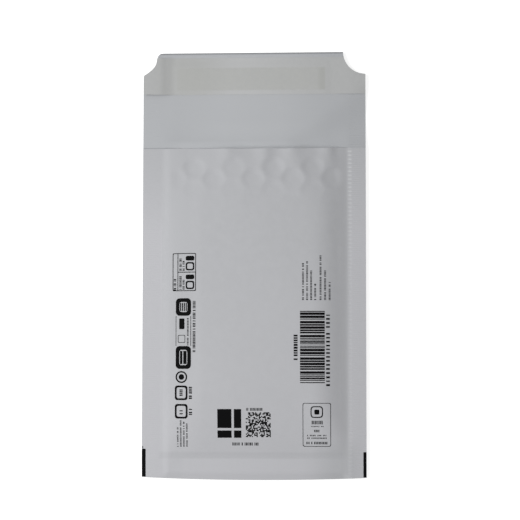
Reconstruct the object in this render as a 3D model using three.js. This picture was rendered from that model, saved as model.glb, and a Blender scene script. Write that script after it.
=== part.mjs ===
// Padded paper envelope lined with bubble film, lying empty on its address side with the flap spread out.
// Millimetres. X runs across the width, Y from the folded bottom to the flap, Z up from the table.
import * as THREE from 'three';

// Paper cover: one sheet, folded at the bottom, its two panels sealed together down both sides
const coverWidth = 120;
const nearPanelLength = 177.5; // folded bottom to the near panel's free edge at the mouth
const flapLength = 52.3; // how far the far panel runs on past the mouth
const paperThickness = 0.2;
const leftSeamWidth = 10.6;
const rightSeamWidth = 9.4;
const bandLength = 11.6; // flat paper between the folded edge and the padding
const foldDepth = 0.6; // solid paper along the folded edge
const foldBow = 1.3; // the middle of the folded edge stands out past its corners
const bandGap = 0.8; // air between the two panels in the flat band, and beside the seams
const bandDroop = 1.4; // the band falls towards the table
const seamHeight = 3.6; // where the side seams begin, above the table
const seamDroop = 0.4; // a side seam falls by this to its cut edge
const shoulderWidth = 22; // from a side seam up to the full thickness
const heelLength = 36; // from the flat band up to the full thickness
const swellPower = 1.7; // how early the shoulders and the heel swell
const mouthDip = 0.7; // swelling draws the near panel's free edge back by this
const flapLift = 3; // the flap springs off the table to this level
const flapRiseLength = 21; // from the mouth's shape to that level
const flapFall = 2.8; // beyond a slanting crease the flap's right side falls by up to this
const creaseFoot = 22; // where the crease leaves the mouth, right of the middle
const creaseHeight = 29; // how far above the mouth the crease meets the flap's right edge
const creaseRun = 18; // width over which the paper beyond the crease falls

// Flap corners: a quarter of an ellipse cut from the right one, an S-shaped cut on the left one
const rightNotchWidth = 12;
const rightNotchHeight = 12.2;
const leftNotchWidth = 10.4;
const leftNotchHeight = 12.7;

// Bubble liner: film folded at the bottom and welded at both sides, with its bubbles towards the paper
const filmThickness = 0.2;
const pocketGap = 4.5; // between the film's two smooth faces
const bubbleHeight = 2.2;
const bubbleDiameter = 10;
const bubbleTopDiameter = 7.2;
const bubblePitch = 12.24;
const bubbleSides = 10;
const firstBubbleDrop = 8.1; // film's free edge to the first bubble's centre
const filmSetback = 0.5; // the film ends this far inside the near panel's free edge
const filmInset = 1.5; // the film's sides stay this far inside the paper's seams
const filmFoldInset = 1.6; // the film's fold stays this far above the flat band
const filmCornerCut = 4.5; // the film's lower corners are narrower by this
const filmHeelLength = 27; // the film opens to the full pocket over this run from its fold
const plainHeelLength = 7; // least run from the film's fold to its first row of bubbles
const weldWidth = 0.6; // film welded to itself along its sides and fold

// Adhesive and the siliconed release strip over it, both on the flap's inner face
const adhesiveLength = 80;
const adhesiveWidth = 12.2;
const adhesiveThickness = 0.25;
const adhesiveOffset = -1.7; // its middle lies left of the envelope's middle
const adhesiveFromEdge = 8.3; // flap's free edge to the adhesive
const stripWidth = 20;
const stripFromEdge = 2.9; // flap's free edge to the strip
const stripThickness = 0.15;
const stripRamp = 3; // the strip comes down to the paper over this run

const clearance = 0.3; // between two pieces that touch

// Worked-out places
const halfWidth = coverWidth / 2;
const pocketLeft = -halfWidth + leftSeamWidth;
const pocketRight = halfWidth - rightSeamWidth;
const flapEnd = nearPanelLength + flapLength;
const fullGap = 2 * (clearance + bubbleHeight + filmThickness) + pocketGap;
const columnSpacing = bubblePitch * Math.sqrt(3) / 2;
const halfPitch = bubblePitch / 2;

// Shares of a shoulder or heel at which the cover is folded from one flat facet to the next
const swellKnots = [0, 0.08, 0.18, 0.32, 0.5, 0.72, 1];

// The panels part over the first facet beside a seam or the fold
const partedRun = swellKnots[1] * shoulderWidth;

// Straight lines between the knots of 1 - (1 - share) ^ power, so that every piece shares its facets
function swell(share) {
  if (share <= 0) return 0;
  if (share >= 1) return 1;
  const height = knot => 1 - (1 - knot) ** swellPower;
  const upper = swellKnots.findIndex(knot => knot > share);
  const [low, high] = [swellKnots[upper - 1], swellKnots[upper]];
  return THREE.MathUtils.mapLinear(share, low, high, height(low), height(high));
}

// How far inside the nearer seam a place across the width lies
function fromSeam(x) {
  return Math.min(x - pocketLeft, pocketRight - x);
}

// Share of the full thickness that a place across the width has
function sideSwell(x) {
  return swell(fromSeam(x) / shoulderWidth);
}

// Height of a side seam's underside: it starts at the pocket and droops to its cut edge
function seamUnder(x) {
  const outside = Math.max((pocketLeft - x) / leftSeamWidth, (x - pocketRight) / rightSeamWidth, 0);
  return seamHeight - seamDroop * outside;
}

// The far panel's underside and the air between both panels' inner faces, at a place in the pocket
function pocketAt(x, y) {
  const pillow = sideSwell(x) * swell((y - bandLength) / heelLength);
  const parted = THREE.MathUtils.clamp(Math.min(fromSeam(x), y - foldDepth) / partedRun, 0, 1);
  const droop = bandDroop * Math.max(0, 1 - y / bandLength);
  return {
    under: seamUnder(x) * (1 - pillow) - droop,
    gap: bandGap * parted + (fullGap - bandGap) * pillow,
  };
}

// Share of its fall that the flap has made at a place: none left of the slanting crease
function fallenShare(x, y) {
  const crease = THREE.MathUtils.mapLinear(y - nearPanelLength, 0, creaseHeight, creaseFoot, halfWidth);
  return THREE.MathUtils.clamp((x - crease) / creaseRun, 0, 1);
}

// The flap's underside: it leaves the mouth in the far panel's shape and rises to one level
function flapUnder(x, y) {
  const share = Math.min((y - nearPanelLength) / flapRiseLength, 1);
  const mouthShare = (1 - share) ** 2;
  const mouthShape = seamUnder(x) * (1 - sideSwell(x));
  return mouthShape * mouthShare + (flapLift - flapFall * fallenShare(x, y)) * (1 - mouthShare);
}

// The S-shaped left notch, from its foot on the side edge to the free edge
const leftNotchCurve = new THREE.CurvePath();
const leftNotchWaist = new THREE.Vector2(0.68 * leftNotchWidth, 0.66 * leftNotchHeight);
leftNotchCurve.add(new THREE.CubicBezierCurve(
  new THREE.Vector2(0, 0),
  new THREE.Vector2(0.37 * leftNotchWidth, 0.2 * leftNotchHeight),
  new THREE.Vector2(0.66 * leftNotchWidth, 0.38 * leftNotchHeight),
  leftNotchWaist,
));
leftNotchCurve.add(new THREE.CubicBezierCurve(
  leftNotchWaist,
  new THREE.Vector2(0.7 * leftNotchWidth, 0.82 * leftNotchHeight),
  new THREE.Vector2(0.79 * leftNotchWidth, leftNotchHeight),
  new THREE.Vector2(leftNotchWidth, leftNotchHeight),
));
const leftNotchPoints = leftNotchCurve.getSpacedPoints(60);

// How far the left notch bites in at a height up the envelope
function leftInset(y) {
  const height = y - (flapEnd - leftNotchHeight);
  if (height <= 0) return 0;
  const above = leftNotchPoints.findIndex(point => point.y >= height);
  if (above < 0) return leftNotchWidth;
  const [low, high] = [leftNotchPoints[Math.max(above - 1, 0)], leftNotchPoints[above]];
  if (high.y === low.y) return high.x;
  return THREE.MathUtils.mapLinear(height, low.y, high.y, low.x, high.x);
}

// How far the right notch bites in: a quarter ellipse about the corner that was cut away
function rightInset(y) {
  const drop = (flapEnd - y) / rightNotchHeight;
  return drop >= 1 ? 0 : rightNotchWidth * Math.sqrt(1 - drop ** 2);
}

// Rows up the notches: even steps of angle round the quarter ellipse, with the left notch's foot
const notchSteps = 6;
const notchRows = [flapEnd - leftNotchHeight];
for (let step = 0; step <= notchSteps; step++) {
  const angle = step / notchSteps * Math.PI / 2;
  notchRows.push(flapEnd - rightNotchHeight * Math.cos(angle));
}
notchRows.sort((a, b) => a - b);

// Moves a column that the notches would cut off inwards, so that the outermost one lies on the edge
function insideNotches(x, y) {
  const leftRoot = pocketLeft + shoulderWidth;
  const rightRoot = pocketRight - shoulderWidth;
  if (x < leftRoot) {
    return THREE.MathUtils.mapLinear(x, -halfWidth, leftRoot, -halfWidth + leftInset(y), leftRoot);
  }
  if (x > rightRoot) {
    return THREE.MathUtils.mapLinear(x, rightRoot, halfWidth, rightRoot, halfWidth - rightInset(y));
  }
  return x;
}

// Collects triangles on shared, named vertices
class Surface {
  constructor() {
    this.numbers = new Map();
    this.positions = [];
    this.indices = [];
  }

  vertex(name, x, y, z) {
    if (!this.numbers.has(name)) {
      this.numbers.set(name, this.positions.length / 3);
      this.positions.push(x, y, z);
    }
    return this.numbers.get(name);
  }

  // A convex polygon as a fan; flipped turns its face to the other side
  polygon(corners, flipped = false) {
    const ring = flipped ? [...corners].reverse() : corners;
    for (let i = 1; i < ring.length - 1; i++) this.indices.push(ring[0], ring[i], ring[i + 1]);
  }

  geometry() {
    const geometry = new THREE.BufferGeometry();
    geometry.setAttribute('position', new THREE.Float32BufferAttribute(this.positions, 3));
    geometry.setIndex(this.indices);
    geometry.computeVertexNormals();
    return geometry;
  }
}

// Outer skin of a stack of sheet cells. Each cell is four lower and four upper corners, both listed
// anticlockwise from above, and a face that two cells share lies inside the sheet and drops out.
function skinOfCells(surface, cells) {
  const faces = new Map();
  for (const { lower, upper } of cells) {
    const [a, b, c, d] = lower;
    const [e, f, g, h] = upper;
    const sides = [[a, b, f, e], [b, c, g, f], [c, d, h, g], [d, a, e, h]];
    for (const face of [[a, d, c, b], [e, f, g, h], ...sides]) {
      const key = [...face].sort((p, q) => p - q).join();
      if (faces.has(key)) faces.delete(key);
      else faces.set(key, face);
    }
  }
  for (const face of faces.values()) surface.polygon(face);
  return surface.geometry();
}

// Four grid corners of a cell, anticlockwise from above
function corners(vertexAt, column, row) {
  return [
    vertexAt(column, row),
    vertexAt(column + 1, row),
    vertexAt(column + 1, row + 1),
    vertexAt(column, row + 1),
  ];
}

function paperCover() {
  const surface = new Surface();
  const shoulder = swellKnots.map(share => share * shoulderWidth);
  const middleThird = (pocketRight - pocketLeft - 2 * shoulderWidth) / 3;
  const columns = [
    -halfWidth,
    ...shoulder.map(run => pocketLeft + run),
    pocketLeft + shoulderWidth + middleThird,
    pocketRight - shoulderWidth - middleThird,
    ...shoulder.map(run => pocketRight - run).reverse(),
    halfWidth,
  ];
  const heelTop = bandLength + heelLength;
  const bodyRows = [0.33, 0.67].map(share => THREE.MathUtils.lerp(heelTop, nearPanelLength, share));
  const pocketRows = [
    0,
    foldDepth,
    foldDepth + partedRun,
    bandLength / 2,
    ...swellKnots.map(share => bandLength + share * heelLength),
    ...bodyRows,
    nearPanelLength,
  ];
  const flapRows = [0.06, 0.16, 0.32, 0.5, 0.66].map(share => nearPanelLength + share * flapLength);
  const rows = [...pocketRows, ...flapRows.filter(y => y < notchRows[0]), ...notchRows];
  const mouthRow = pocketRows.length - 1;
  const foldRow = 1;
  const leftEdgeColumn = 1;
  const rightEdgeColumn = columns.length - 2;

  // The folded edge bows out between its corners, and straightens over the flat band
  const bowed = (x, y) => y + foldBow * (x / halfWidth) ** 2 * Math.max(0, 1 - y / bandLength);

  const bonded = (column, row) =>
    column <= leftEdgeColumn || column >= rightEdgeColumn || row <= foldRow;

  const underside = (x, y) => y > nearPanelLength ? flapUnder(x, y) : pocketAt(x, y).under;

  const farVertex = (level) => (column, row) => {
    const x = insideNotches(columns[column], rows[row]);
    const y = rows[row];
    const z = underside(x, y) + level * paperThickness;
    return surface.vertex(`far ${level} ${column} ${row}`, x, bowed(x, y), z);
  };

  // The near panel's inner face is the far panel's own inner face wherever the two are bonded
  const nearVertex = (level) => (column, row) => {
    if (level === 0 && bonded(column, row)) return farVertex(1)(column, row);
    const x = columns[column];
    const { under, gap } = pocketAt(x, rows[row]);
    const drawnBack = row === mouthRow ? mouthDip * sideSwell(x) : 0;
    const z = under + paperThickness + (bonded(column, row) ? 0 : gap) + level * paperThickness;
    return surface.vertex(`near ${level} ${column} ${row}`, x, bowed(x, rows[row]) - drawnBack, z);
  };

  const cells = [];
  for (let column = 0; column < columns.length - 1; column++) {
    for (let row = 0; row < rows.length - 1; row++) {
      cells.push({
        lower: corners(farVertex(0), column, row),
        upper: corners(farVertex(1), column, row),
      });
      if (row < mouthRow) {
        cells.push({
          lower: corners(nearVertex(0), column, row),
          upper: corners(nearVertex(1), column, row),
        });
      }
    }
  }
  return skinOfCells(surface, cells);
}

// Triangles between an outer and an inner ring of vertices, both anticlockwise about a centre
function bridgeRings(surface, outer, inner, flipped) {
  const byAngle = ring => [...ring].sort((a, b) => a.angle - b.angle);
  const [far, near] = [byAngle(outer), byAngle(inner)];
  const angleAt = (ring, i) => ring[i % ring.length].angle + (i >= ring.length ? 2 * Math.PI : 0);
  let [i, j] = [0, 0];
  while (i < far.length || j < near.length) {
    const a = far[i % far.length].vertex;
    const b = near[j % near.length].vertex;
    const moveOuter = j >= near.length
      || (i < far.length && angleAt(far, i + 1) <= angleAt(near, j + 1));
    if (moveOuter) {
      i += 1;
      surface.polygon([b, a, far[i % far.length].vertex], flipped);
    } else {
      j += 1;
      surface.polygon([b, a, near[j % near.length].vertex], flipped);
    }
  }
}

// Height of a convex polygon, cut into a fan from its first corner, above a place in plan
function fanHeight(fan, x, y) {
  const origin = fan[0];
  for (let i = 1; i < fan.length - 1; i++) {
    const [p, q] = [fan[i].clone().sub(origin), fan[i + 1].clone().sub(origin)];
    const area = p.x * q.y - p.y * q.x;
    const u = ((x - origin.x) * q.y - (y - origin.y) * q.x) / area;
    const v = (p.x * (y - origin.y) - p.y * (x - origin.x)) / area;
    if (u >= 0 && v >= 0 && u + v <= 1) return origin.z + u * p.z + v * q.z;
  }
  throw new Error('a bubble reaches past its brick');
}

function bubbleLiner() {
  const surface = new Surface();
  const filmLeft = pocketLeft + filmInset;
  const filmRight = pocketRight - filmInset;
  const filmFold = bandLength + filmFoldInset;
  const filmEdge = nearPanelLength - mouthDip - filmSetback;
  const filmMiddle = (filmLeft + filmRight) / 2;

  // Lines between the columns of bubbles, and a last one down the film's right side
  const columnCount = Math.floor((filmRight - filmLeft) / columnSpacing);
  const lines = [];
  for (let line = 0; line <= columnCount; line++) lines.push(filmLeft + line * columnSpacing);
  lines.push(filmRight);
  const lastLine = lines.length - 1;

  // Rows half a pitch apart, because neighbouring columns are staggered by half a pitch
  const topRow = filmEdge - firstBubbleDrop + halfPitch;
  const halfRows = Math.floor((topRow - filmFold - plainHeelLength) / halfPitch);
  const rows = [filmFold];
  for (let step = halfRows; step >= 0; step--) rows.push(topRow - step * halfPitch);
  rows.push(filmEdge);
  const lastRow = rows.length - 1;

  // The film's level in the cover, and how far its smooth face lies from the pocket's middle
  const middleAt = (x, y) => {
    const { under, gap } = pocketAt(x, y);
    return under + paperThickness + gap / 2;
  };
  const halfGapAt = (x, y) => {
    const side = Math.min(x - filmLeft, filmRight - x) / columnSpacing;
    const heel = (y - filmFold) / filmHeelLength;
    return pocketGap / 2 * THREE.MathUtils.clamp(side, 0, 1) * THREE.MathUtils.clamp(heel, 0, 1);
  };

  // Near the fold the film is narrower, so that its corners stay inside the pillow's round ones
  const cornerScale = 1 - 2 * filmCornerCut / (filmRight - filmLeft);
  const narrowed = x => filmMiddle + (x - filmMiddle) * cornerScale;
  const cornerAt = (line, row) => {
    const x = row === 0 ? narrowed(lines[line]) : lines[line];
    return new THREE.Vector3(x, rows[row], middleAt(x, rows[row]));
  };

  // The face with the bubbles: side is +1 on the near panel's film and -1 on the far panel's
  const outerPoint = (side, line, row) => {
    const point = cornerAt(line, row);
    const half = line === 0 || line === lastLine ? 0 : halfGapAt(point.x, point.y);
    point.z += side * (half + filmThickness);
    return point;
  };
  const outerVertex = side => (line, row) =>
    surface.vertex(`outer ${side} ${line} ${row}`, ...outerPoint(side, line, row));

  // The smooth face: near and far film meet along the weld down the sides and along the fold
  const weldedX = { 0: filmLeft + weldWidth, [lastLine]: filmRight - weldWidth };
  const innerVertex = side => (line, row) => {
    const welded = row === 0 || line in weldedX;
    const point = cornerAt(line, row);
    if (line in weldedX) {
      const next = cornerAt(line === 0 ? 1 : lastLine - 1, row);
      const x = row === 0 ? narrowed(weldedX[line]) : weldedX[line];
      point.lerp(next, (x - point.x) / (next.x - point.x));
    }
    if (row === 0) {
      const above = cornerAt(line, 1);
      point.lerp(above, weldWidth / (above.y - point.y));
    }
    if (!welded) point.z += side * halfGapAt(point.x, point.y);
    return surface.vertex(`inner ${welded ? 0 : side} ${line} ${row}`, ...point);
  };

  // A bubble stands on a brick, two half rows high with a corner halfway up each side
  const brickOf = (line, row) => [[line, row], [line + 1, row], [line + 1, row + 1],
    [line + 1, row + 2], [line, row + 2], [line, row + 1]];

  function bubble(side, line, row) {
    const centre = new THREE.Vector2((lines[line] + lines[line + 1]) / 2, rows[row + 1]);
    const brick = brickOf(line, row);
    const fan = brick.map(([l, r]) => outerPoint(side, l, r));
    const outer = brick.map(([l, r], i) => ({
      vertex: outerVertex(side)(l, r),
      angle: Math.atan2(fan[i].y - centre.y, fan[i].x - centre.x),
    }));
    const ring = (label, radius, height) => {
      const points = [];
      for (let i = 0; i < bubbleSides; i++) {
        const angle = (i + 0.5) / bubbleSides * 2 * Math.PI - Math.PI;
        const x = centre.x + radius * Math.cos(angle);
        const y = centre.y + radius * Math.sin(angle);
        const name = `${label} ${side} ${line} ${row} ${i}`;
        points.push({ vertex: surface.vertex(name, x, y, height(x, y)), angle });
      }
      return points;
    };
    const base = ring('base', bubbleDiameter / 2, (x, y) => fanHeight(fan, x, y));
    const top = ring('top', bubbleTopDiameter / 2, (x, y) => {
      const { under, gap } = pocketAt(x, y);
      const paperFace = under + paperThickness + (side > 0 ? gap : 0);
      return paperFace - side * clearance;
    });
    bridgeRings(surface, outer, base, side < 0);
    bridgeRings(surface, base, top, side < 0);
    surface.polygon(top.map(point => point.vertex), side < 0);
    surface.polygon(brick.map(([l, r]) => innerVertex(side)(l, r)), side > 0);
  }

  function plain(side, line, row) {
    surface.polygon(corners(outerVertex(side), line, row), side < 0);
    surface.polygon(corners(innerVertex(side), line, row), side > 0);
  }

  for (const side of [1, -1]) {
    for (let line = 0; line < lastLine; line++) {
      const plainRows = line % 2 === 0 ? 2 : 1; // above the column's first bubble
      let row = lastRow;
      for (let count = 0; count < plainRows; count++) plain(side, line, --row);
      while (line < columnCount && row >= 3) bubble(side, line, row -= 2);
      while (row > 0) plain(side, line, --row);
    }
  }

  // Welded sides and fold
  const [above, below] = [outerVertex(1), outerVertex(-1)];
  for (let row = 0; row < lastRow; row++) {
    for (const line of [0, lastLine]) {
      const edge = [below(line, row), above(line, row), above(line, row + 1), below(line, row + 1)];
      surface.polygon(edge, line > 0);
    }
  }
  for (let line = 0; line < lastLine; line++) {
    surface.polygon([below(line, 0), below(line + 1, 0), above(line + 1, 0), above(line, 0)]);
  }

  // The film's cut edge at the mouth
  for (const side of [1, -1]) {
    const [outer, inner] = [outerVertex(side), innerVertex(side)];
    for (let line = 0; line < lastLine; line++) {
      const lip = [outer(line, lastRow), inner(line, lastRow), inner(line + 1, lastRow),
        outer(line + 1, lastRow)];
      surface.polygon(lip, side > 0);
    }
  }
  for (const line of [0, lastLine]) {
    const end = [above(line, lastRow), innerVertex(1)(line, lastRow), below(line, lastRow)];
    surface.polygon(end, line > 0);
  }
  return surface.geometry();
}

// A thin layer over the flap: offset gives the height of its underside above the paper's face
function flapLayer(columns, rows, thickness, offset) {
  const surface = new Surface();
  const vertexAt = level => (column, row) => {
    const y = rows[row];
    const x = insideNotches(columns[column], y);
    const z = flapUnder(x, y) + paperThickness + offset(x, y) + level * thickness;
    return surface.vertex(`${level} ${column} ${row}`, x, y, z);
  };
  const cells = [];
  for (let column = 0; column < columns.length - 1; column++) {
    for (let row = 0; row < rows.length - 1; row++) {
      cells.push({ lower: corners(vertexAt(0), column, row), upper: corners(vertexAt(1), column, row) });
    }
  }
  return skinOfCells(surface, cells);
}

const adhesiveLeft = adhesiveOffset - adhesiveLength / 2;
const adhesiveRight = adhesiveOffset + adhesiveLength / 2;
const adhesiveTop = flapEnd - adhesiveFromEdge;
const adhesiveBottom = adhesiveTop - adhesiveWidth;

// Evenly spaced values from one end to the other
function evenly(from, to, parts) {
  return Array.from({ length: parts + 1 }, (_, i) => THREE.MathUtils.lerp(from, to, i / parts));
}

function adhesiveStrip() {
  const columns = evenly(adhesiveLeft, adhesiveRight, 8);
  const rows = evenly(adhesiveBottom, adhesiveTop, 4);
  return flapLayer(columns, rows, adhesiveThickness, () => clearance);
}

function releaseStrip() {
  const stripTop = flapEnd - stripFromEdge;
  const stripBottom = stripTop - stripWidth;
  const columns = [
    -halfWidth,
    ...evenly(pocketLeft, adhesiveLeft - stripRamp, 2),
    ...evenly(adhesiveLeft, adhesiveRight, 8),
    ...evenly(adhesiveRight + stripRamp, pocketRight, 2),
    halfWidth,
  ];
  const rowSet = [stripBottom, adhesiveBottom - stripRamp, adhesiveBottom, adhesiveTop,
    adhesiveTop + stripRamp, stripTop, ...notchRows];
  const rows = rowSet.filter(y => y >= stripBottom && y <= stripTop).sort((a, b) => a - b);

  // Full height over the adhesive, and down to the paper within the ramp all round it
  const over = (value, low, high) => {
    const outside = Math.max(low - value, value - high, 0);
    return THREE.MathUtils.clamp(1 - outside / stripRamp, 0, 1);
  };
  const overAdhesive = adhesiveThickness + clearance;
  const offset = (x, y) => clearance
    + overAdhesive * over(x, adhesiveLeft, adhesiveRight) * over(y, adhesiveBottom, adhesiveTop);
  return flapLayer(columns, rows, stripThickness, offset);
}

function subpart(name, geometry, color, roughness) {
  const material = new THREE.MeshStandardMaterial({ color, roughness, metalness: 0 });
  const mesh = new THREE.Mesh(geometry, material);
  mesh.name = name;
  return mesh;
}

const envelope = new THREE.Group();
envelope.add(subpart('paper_cover', paperCover(), 0xb9babd, 0.85));
envelope.add(subpart('bubble_liner', bubbleLiner(), 0xd4dade, 0.25));
envelope.add(subpart('adhesive_strip', adhesiveStrip(), 0xb4b4ac, 0.35));
envelope.add(subpart('release_strip', releaseStrip(), 0xb6b8b8, 0.45));
envelope.position.y = -flapEnd / 2;

export default envelope;
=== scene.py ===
"""Padded paper envelope lined with bubble film, lying empty with its flap spread out, seen from above.

Shapes are worked out in millimetres in the envelope's own frame: x across it from the middle, y up
from the folded bottom edge, z up from the table. One function turns them into the frame's metres.
"""

import math

import bpy
import numpy as np
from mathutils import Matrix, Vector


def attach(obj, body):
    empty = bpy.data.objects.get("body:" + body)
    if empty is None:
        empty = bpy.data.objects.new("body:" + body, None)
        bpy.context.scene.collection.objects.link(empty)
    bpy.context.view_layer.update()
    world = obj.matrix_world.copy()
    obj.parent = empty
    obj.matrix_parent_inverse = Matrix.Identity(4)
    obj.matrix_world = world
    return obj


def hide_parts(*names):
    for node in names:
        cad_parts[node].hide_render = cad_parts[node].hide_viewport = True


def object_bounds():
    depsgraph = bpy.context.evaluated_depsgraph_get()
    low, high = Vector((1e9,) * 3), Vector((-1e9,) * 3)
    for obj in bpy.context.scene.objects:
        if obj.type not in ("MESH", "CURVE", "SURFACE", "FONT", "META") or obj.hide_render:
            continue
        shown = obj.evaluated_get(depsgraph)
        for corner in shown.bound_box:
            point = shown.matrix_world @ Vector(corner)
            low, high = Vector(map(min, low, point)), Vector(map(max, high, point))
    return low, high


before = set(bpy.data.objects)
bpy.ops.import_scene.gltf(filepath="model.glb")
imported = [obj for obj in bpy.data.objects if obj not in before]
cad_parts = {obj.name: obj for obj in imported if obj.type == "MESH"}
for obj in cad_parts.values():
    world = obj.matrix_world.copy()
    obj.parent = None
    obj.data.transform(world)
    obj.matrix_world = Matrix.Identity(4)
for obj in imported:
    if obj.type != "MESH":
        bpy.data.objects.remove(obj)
cad_low, cad_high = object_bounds()

# The paper cover: one sheet of white kraft paper, folded over at the bottom, its two panels sealed
# together down both sides by a knurled wheel. The far panel runs on past the mouth as the flap, whose
# corners are cut off: a round cut on the right, an S-shaped one on the left.
MILLIMETRE = 0.001
half_width = cad_high.x / MILLIMETRE
flap_end = (cad_high.y - cad_low.y) / MILLIMETRE
near_length = flap_end - 52.3
paper = 0.2
glue = 0.02
left_seam = -half_width + 10.6
right_seam = half_width - 8.7
band = 11.6
fold_bow = 1.3
band_gap = 0.8
parted_run = 4.0
full_gap = 9.7
seam_height = 3.6
seam_droop = 0.4
band_droop = 0.6
shoulder = 22.0
slack_run = 26.0
slack_on_left = 1.9
slack_on_right = 1.25
corner_curl = 3.4
curl_width = 6.0
heel = 40.0
heel_at_right = 18.0
corner_width = 15.0
mouth_dip = 0.7
mouth_dip_run = 12.0
flap_lift = 3.0
flap_rise = 21.0
flap_fall = 2.8
roll_width = 1.5
roll_drop = 1.1
crease_foot = 22.0
crease_height = 29.0
crease_lead = 11.0
crease_run = 33.0
right_notch = (12.0, 12.2)
left_notch = (10.4, 12.7)


def ease(share):
    """Smooth step from 0 to 1: 3 s squared less 2 s cubed, level at both ends."""
    s = np.clip(share, 0, 1)
    return s * s * (3 - 2 * s)


def swell(share, crease=0.12, power=1.7):
    """Share of the full height at a share of the run: 1 - (1 - s) ^ power, where s starts as softly as
    a hyperbola, so that the paper bends round a crease instead of breaking there."""
    s = np.clip(share, 0, 1)
    soft = (np.sqrt(s * s + crease * crease) - crease) / (math.hypot(1, crease) - crease)
    return 1 - (1 - soft) ** power


def from_seam(x):
    """Distance to the nearer side seam, negative in the seam itself."""
    return np.minimum(x - left_seam, right_seam - x)


def side_swell(x, y):
    """The pillow's rise from either side: crisp beside the left seam, softer beside the right one, and
    slackening towards the mouth and the flap into a nearly straight slope."""
    on_left = (x - left_seam) / shoulder
    on_right = (right_seam - x) / shoulder
    taut = np.where(x < (left_seam + right_seam) / 2, swell(on_left, 0.06), swell(on_right, 0.3, 2.6))
    slack = np.exp(-((np.clip(near_length - y, 0, None) / slack_run) ** 2))
    loose = swell(np.minimum(on_left / slack_on_left, on_right / slack_on_right), 0.1, 1.3)
    return taut + (loose - taut) * slack


def seam_under(x):
    """Underside of a seam: level at its pocket edge, drooping in proportion to its cut edge."""
    left_share = (left_seam - x) / (left_seam + half_width)
    right_share = (x - right_seam) / (half_width - right_seam)
    return seam_height - seam_droop * np.clip(np.maximum(left_share, right_share), 0, 1)


def foot(x):
    """Where the pillow starts: at the band's top, less a bell that curls it down at the left corner."""
    return band - corner_curl * np.exp(-((x - left_seam) / curl_width) ** 2)


def pillow_swell(x, y):
    """Share of the pillow's full height: the rise from the sides times the rise from the folded end,
    whose run is shorter by a bell at the right corner."""
    run = heel - (heel - heel_at_right) * np.exp(-((right_seam - x) / corner_width) ** 2)
    return side_swell(x, y) * swell((y - foot(x)) / run, 0.05, 1.9)


def pocket_under(x, y):
    """Far panel's underside: the seams' height where nothing swells, and the table under the pillow,
    with the band drooping in proportion towards the fold."""
    pillow = pillow_swell(x, y)
    return seam_under(x) * (1 - pillow) - band_droop * np.clip(1 - y / band, 0, 1)


def pocket_gap(x, y):
    """Air between the panels' inner faces: a little beside the seams and in the band, then the pillow."""
    pillow = pillow_swell(x, y)
    parted = ease(np.minimum(from_seam(x), y) / parted_run)
    return band_gap * parted + (full_gap - band_gap) * pillow


# Small forms that the padding and handling press into the paper
bubble_pitch = 12.24
column_spacing = bubble_pitch * math.sqrt(3) / 2
first_column = left_seam + 1.5 + column_spacing / 2
first_bubble = near_length - 9.3
bubble_columns = 9
dent_depth = 1.15
dent_radius = 5.3
rim_height = 0.08
rim_width = 1.0
dent_rows = 3
dent_slip = 1.5
dent_fade = 20.5
edge_crests = (-14.2, 6.0, 20.2, 39.6)
edge_heights = (1.0, 1.3, 1.1, 1.6)
edge_dip = 1.1
crest_width = 4.4
crest_fade = 8.0
unevenness = 0.12
relief_run = 8.0
relief_gain = 3
dip_gain = 2


def bubble_centres(rows):
    """Centres of the film's bubbles: columns a spacing apart, every second one half a pitch higher."""
    column, row = np.meshgrid(np.arange(bubble_columns), np.arange(rows))
    x = first_column + column_spacing * column
    y = first_bubble - bubble_pitch * (row + 0.5 * (column % 2 == 0))
    return np.stack([x, y], -1).reshape(-1, 2)


def near_relief(x, y):
    """Lift of the near panel: round dents over the bubbles, each a flat-bottomed bell inside a low rim,
    fading below the mouth and a little lower than the bubbles, because the paper has slipped; a free
    edge that dips between bell-shaped crests; and long soft unevenness as two crossing sine waves."""
    below = near_length - y
    inside = ease(from_seam(x) / relief_run) * np.minimum(relief_gain * side_swell(x, y), 1)
    pressed = np.zeros(np.broadcast(x, y).shape)
    shares = np.random.default_rng(4).uniform(0.6, 1.0, dent_rows * bubble_columns)
    for (centre_x, centre_y), share in zip(bubble_centres(dent_rows), shares):
        radius = np.hypot(x - centre_x, y - centre_y + dent_slip)
        pressed -= share * dent_depth * np.exp(-((radius / dent_radius) ** 4))
        pressed += share * rim_height * np.exp(-((radius - dent_radius - rim_width) / rim_width) ** 2)
    pressed *= np.exp(-((below / dent_fade) ** 3))
    wave = -edge_dip * np.minimum(dip_gain * side_swell(x, y), 1)
    for crest, height in zip(edge_crests, edge_heights):
        wave = wave + height * np.exp(-((x - crest) / crest_width) ** 2)
    wave = wave * np.exp(-((below / crest_fade) ** 1.5))
    uneven = unevenness * (np.sin(x / 9.5 + y / 21 + 1) + np.sin(x / 23 - y / 13))
    return inside * (pressed + wave + uneven)


def flap_under(x, y):
    """Flap's underside: from the far panel's shape at the mouth it rises as a parabola to one level.
    Across a slanting crease it eases down again, and its free edge is rolled down as a parabola."""
    above = y - near_length
    mouth_share = (1 - np.clip(above / flap_rise, 0, 1)) ** 2
    mouth_shape = seam_under(x) * (1 - side_swell(x, y))
    crease = crease_foot + (half_width - crease_foot) * above / crease_height
    fallen = flap_fall * ease((x - crease + crease_lead) / crease_run)
    rolled = roll_drop * np.clip(1 - (flap_end - y) / roll_width, 0, 1) ** 2
    return mouth_shape * mouth_share + (flap_lift - fallen) * (1 - mouth_share) - rolled


def bezier(start, leave, arrive, end, count=40):
    """Points of a cubic curve, as the sum of its four points weighted by the usual polynomials."""
    t = np.linspace(0, 1, count)[:, None]
    weights = ((1 - t) ** 3, 3 * t * (1 - t) ** 2, 3 * t * t * (1 - t), t ** 3)
    return sum(w * np.array(p, float) for w, p in zip(weights, (start, leave, arrive, end)))


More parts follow.
